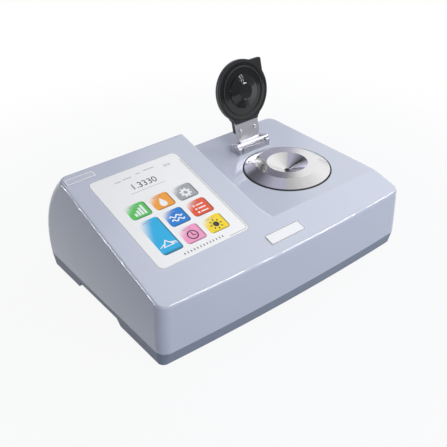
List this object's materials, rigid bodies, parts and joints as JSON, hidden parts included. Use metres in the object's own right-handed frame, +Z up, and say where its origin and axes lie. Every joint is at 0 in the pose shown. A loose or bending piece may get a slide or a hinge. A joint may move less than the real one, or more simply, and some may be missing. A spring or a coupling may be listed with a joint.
{
  "type": "digital bench refractometer",
  "caption": "Wedge-shaped bench refractometer with a sloping touch screen, a polished prism stage on a low deck and a hinged black light-shield lid standing open.",
  "frame": {"origin": "on the table under the middle of the housing, at the feet's undersides", "axes": "+X to the user's right along the long side, +Y to the rear, +Z up; the lid is open at rest"},
  "size_m": [0.37, 0.259, 0.2113],
  "materials": {
    "housing_plastic": "pale blue-grey satin, smooth moulded",
    "base_plastic": "slate grey, fine texture",
    "rubber": "matt black",
    "steel": "zinc-plated",
    "sheet_steel": "galvanised sheet",
    "overlay_film": "white printed film, satin",
    "screen_glass": "lit colour screen behind a hard coat",
    "screen_body": "black module",
    "plate_metal": "bare pale plate with bevelled edge",
    "label_film": "bare label film",
    "stage_steel": "turned and polished stainless",
    "hinge_steel": "satin stainless",
    "pin_steel": "ground and polished",
    "aluminium": "satin",
    "black_aluminium": "black anodised",
    "optical_glass": "polished",
    "filter_glass": "interference filter for the yellow line",
    "ceramic_package": "white ceramic",
    "circuit_board": "green solder mask",
    "brass": "plain",
    "black_plastic": "black moulded",
    "switch_plastic": "black gloss",
    "lid_plastic": "black, fine grain",
    "lid_gloss": "black, glossy"
  },
  "bodies": {
    "instrument": {"upper_cover": "housing_plastic", "base_pan": "base_plastic", "rubber_feet": "rubber", "cover_screws": "steel", "chassis_plate": "sheet_steel", "display_overlay": "overlay_film", "touch_glass": "screen_glass", "lcd_module": "screen_body", "display_frame": "sheet_steel", "display_screws": "steel", "front_plate": "plate_metal", "rear_plate": "label_film", "prism_stage": "stage_steel", "stage_gasket": "rubber", "stage_nut": "aluminium", "prism": "optical_glass", "prism_seal": "rubber", "optical_block": "black_aluminium", "block_screws": "steel", "condenser_lens": "optical_glass", "objective_lens": "optical_glass", "lens_rings": "black_aluminium", "interference_filter": "filter_glass", "light_source": "aluminium", "line_sensor": "ceramic_package", "sensor_board": "circuit_board", "temperature_probe": "steel", "peltier_module": "ceramic_package", "heat_sink": "aluminium", "fan_frame": "black_plastic", "rear_panel": "aluminium", "rear_panel_screws": "steel", "power_inlet": "black_plastic", "switch_housing": "black_plastic", "serial_port": "steel", "usb_ports": "steel", "interface_board": "circuit_board", "main_board": "circuit_board", "board_standoffs": "brass", "backup_cell": "steel", "buzzer": "black_plastic", "power_supply": "sheet_steel", "hinge_bracket": "hinge_steel", "bracket_screws": "steel", "hinge_pin": "pin_steel"},
    "lid": {"lid_shell": "lid_plastic", "lid_insert": "lid_gloss", "lid_seal": "rubber", "hinge_leaf": "hinge_steel", "leaf_screws": "steel"},
    "power_switch": {"switch_rocker": "switch_plastic"},
    "fan_impeller": {"fan_rotor": "black_plastic"}
  },
  "joints": [
    {"name": "lid_hinge", "type": "hinge", "parent": "instrument", "child": "lid", "pos_m": [0.096, 0.0616, 0.1042], "axis": [1, 0, 0], "range_deg": [0, 104.2]},
    {"name": "switch_rock", "type": "hinge", "parent": "instrument", "child": "power_switch", "pos_m": [-0.083, 0.119, 0.053], "axis": [1, 0, 0], "range_deg": [0, 20]},
    {"name": "fan_spin", "type": "hinge", "parent": "instrument", "child": "fan_impeller", "pos_m": [0.096, 0.104, 0.058], "axis": [0, 1, 0], "continuous": true}
  ]
}
